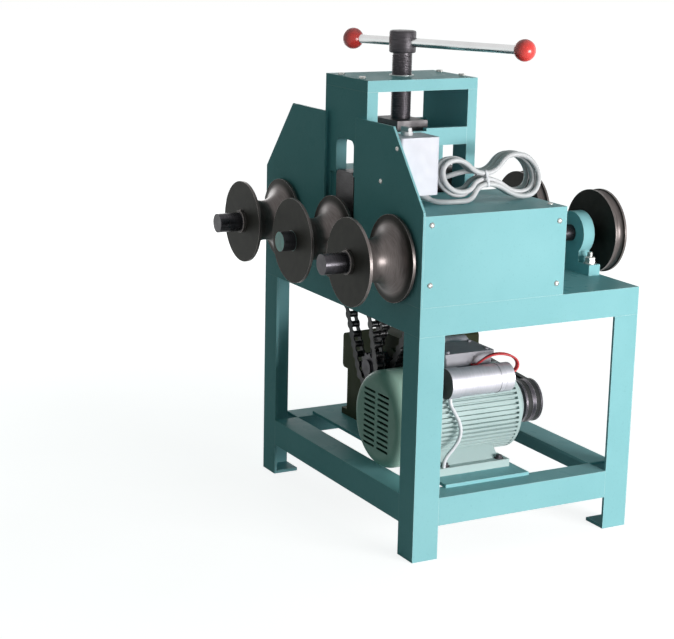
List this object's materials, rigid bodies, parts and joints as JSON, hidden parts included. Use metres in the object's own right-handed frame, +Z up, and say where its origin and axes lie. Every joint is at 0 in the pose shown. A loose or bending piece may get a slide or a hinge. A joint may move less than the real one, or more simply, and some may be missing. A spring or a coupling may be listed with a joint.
{
  "type": "electric pipe bender",
  "caption": "Electric roll pipe bender on an angle-iron stand: chain-driven grooved rollers below a screw press with a T-bar, belt-driven by a motor under the deck.",
  "frame": {"origin": "on the floor, under the middle of the machine's box", "axes": "+Z up, +X to the right as seen from the rollers, -Y towards the rollers"},
  "size_m": [0.586, 0.642, 0.879],
  "materials": {
    "teal_paint": "satin enamel",
    "black_steel": "blackened, satin",
    "bright_steel": "turned",
    "bronze": "turned",
    "red_plastic": "gloss",
    "zinc_steel": "zinc plated",
    "olive_paint": "satin",
    "motor_paint": "satin",
    "chain_steel": "oiled",
    "belt_rubber": "matt",
    "capacitor_can": "drawn can",
    "dark_plastic": "moulded",
    "white_plastic": "moulded",
    "black_plastic": "moulded",
    "cord_sheath": "matt sheath"
  },
  "bodies": {
    "frame": {"bottom_cross_rails": "teal_paint", "bottom_side_rails": "teal_paint", "capacitors": "capacitor_can", "cord_hank": "cord_sheath", "cord_plug": "black_plastic", "cover_screws": "zinc_steel", "deck_plate": "teal_paint", "drive_belts": "belt_rubber", "drive_chains": "chain_steel", "left_bearing_housing": "teal_paint", "left_cover": "teal_paint", "left_pillow_block": "teal_paint", "left_wing": "teal_paint", "leg_front_left": "teal_paint", "leg_front_right": "teal_paint", "leg_rear_left": "teal_paint", "leg_rear_right": "teal_paint", "motor_fan_cover": "motor_paint", "motor_housing": "motor_paint", "motor_leads": "cord_sheath", "motor_plate": "teal_paint", "power_cord": "cord_sheath", "press_front_plate": "teal_paint", "press_rear_plate": "teal_paint", "press_top_plate": "teal_paint", "reducer_housing": "olive_paint", "right_bearing_housing": "teal_paint", "right_cover": "teal_paint", "right_pillow_block": "teal_paint", "right_wing": "teal_paint", "screw_nut": "bronze", "shaft_bearings": "bright_steel", "switch_box": "white_plastic", "terminal_box": "dark_plastic", "tie_bars": "teal_paint", "top_frame": "teal_paint", "top_plate_bolts": "zinc_steel"},
    "left_roller_unit": {"left_roller_shaft": "bright_steel", "left_roller": "black_steel", "left_shaft_collar": "black_steel", "left_gear": "bright_steel"},
    "right_roller_unit": {"right_roller_shaft": "bright_steel", "right_roller": "black_steel", "right_shaft_collar": "black_steel", "right_gear": "bright_steel"},
    "left_drive_unit": {"left_drive_shaft": "bright_steel", "left_rear_wheel": "black_steel"},
    "right_drive_unit": {"right_drive_shaft": "bright_steel", "right_rear_wheel": "black_steel"},
    "slide": {"slide_block": "black_steel"},
    "centre_roller_unit": {"centre_shaft": "bright_steel", "centre_roller": "black_steel"},
    "screw": {"press_screw": "bright_steel"},
    "handle": {"handle_bar": "bright_steel", "handle_balls": "red_plastic"},
    "reducer_out": {"reducer_output": "bright_steel"},
    "reducer_in": {"reducer_input_pulley": "black_steel"},
    "motor_shaft_unit": {"motor_rotor": "bright_steel", "motor_pulley": "black_steel"},
    "knob": {"switch_knob": "black_plastic"}
  },
  "joints": [
    {"name": "left_roller_spin", "type": "hinge", "parent": "frame", "child": "left_roller_unit", "pos_m": [-0.206, 0, 0.516], "axis": [0, 1, 0], "continuous": true},
    {"name": "right_roller_spin", "type": "hinge", "parent": "frame", "child": "right_roller_unit", "pos_m": [0.206, 0, 0.516], "axis": [0, 1, 0], "continuous": true},
    {"name": "left_drive_spin", "type": "hinge", "parent": "frame", "child": "left_drive_unit", "pos_m": [-0.12, 0, 0.516], "axis": [0, 1, 0], "continuous": true},
    {"name": "right_drive_spin", "type": "hinge", "parent": "frame", "child": "right_drive_unit", "pos_m": [0.12, 0, 0.516], "axis": [0, 1, 0], "continuous": true},
    {"name": "press_slide", "type": "slide", "parent": "frame", "child": "slide", "axis": [0, 0, 1], "range_m": [-0.025, 0.05]},
    {"name": "centre_roller_spin", "type": "hinge", "parent": "slide", "child": "centre_roller_unit", "pos_m": [0, 0, 0.516], "axis": [0, 1, 0], "continuous": true},
    {"name": "screw_turn", "type": "hinge", "parent": "slide", "child": "screw", "pos_m": [0, -0.057, 0.8], "axis": [0, 0, 1], "range_deg": [-1500, 3000]},
    {"name": "handle_slide", "type": "slide", "parent": "screw", "child": "handle", "axis": [0.8902, 0.4555, 0], "range_m": [-0.2, 0.06]},
    {"name": "reducer_output_spin", "type": "hinge", "parent": "frame", "child": "reducer_out", "pos_m": [-0.02, 0, 0.262], "axis": [0, 1, 0], "continuous": true},
    {"name": "reducer_input_spin", "type": "hinge", "parent": "frame", "child": "reducer_in", "pos_m": [-0.15, 0, 0.215], "axis": [0, 1, 0], "continuous": true},
    {"name": "motor_spin", "type": "hinge", "parent": "frame", "child": "motor_shaft_unit", "pos_m": [0.115, 0, 0.2045], "axis": [0, 1, 0], "continuous": true},
    {"name": "switch_turn", "type": "hinge", "parent": "frame", "child": "knob", "pos_m": [0.1725, -0.145, 0.725], "axis": [0, 0, 1], "range_deg": [-60, 60]}
  ],
  "couplings": [
    {"joint": "right_roller_spin", "follows": "left_roller_spin", "ratio": 1},
    {"joint": "left_drive_spin", "follows": "left_roller_spin", "ratio": -1.5294},
    {"joint": "right_drive_spin", "follows": "left_roller_spin", "ratio": -1.5294},
    {"joint": "reducer_output_spin", "follows": "left_roller_spin", "ratio": -2.2246},
    {"joint": "press_slide", "follows": "screw_turn", "m_per_rad": 0.00095493},
    {"joint": "reducer_input_spin", "follows": "motor_spin", "ratio": 0.8}
  ]
}
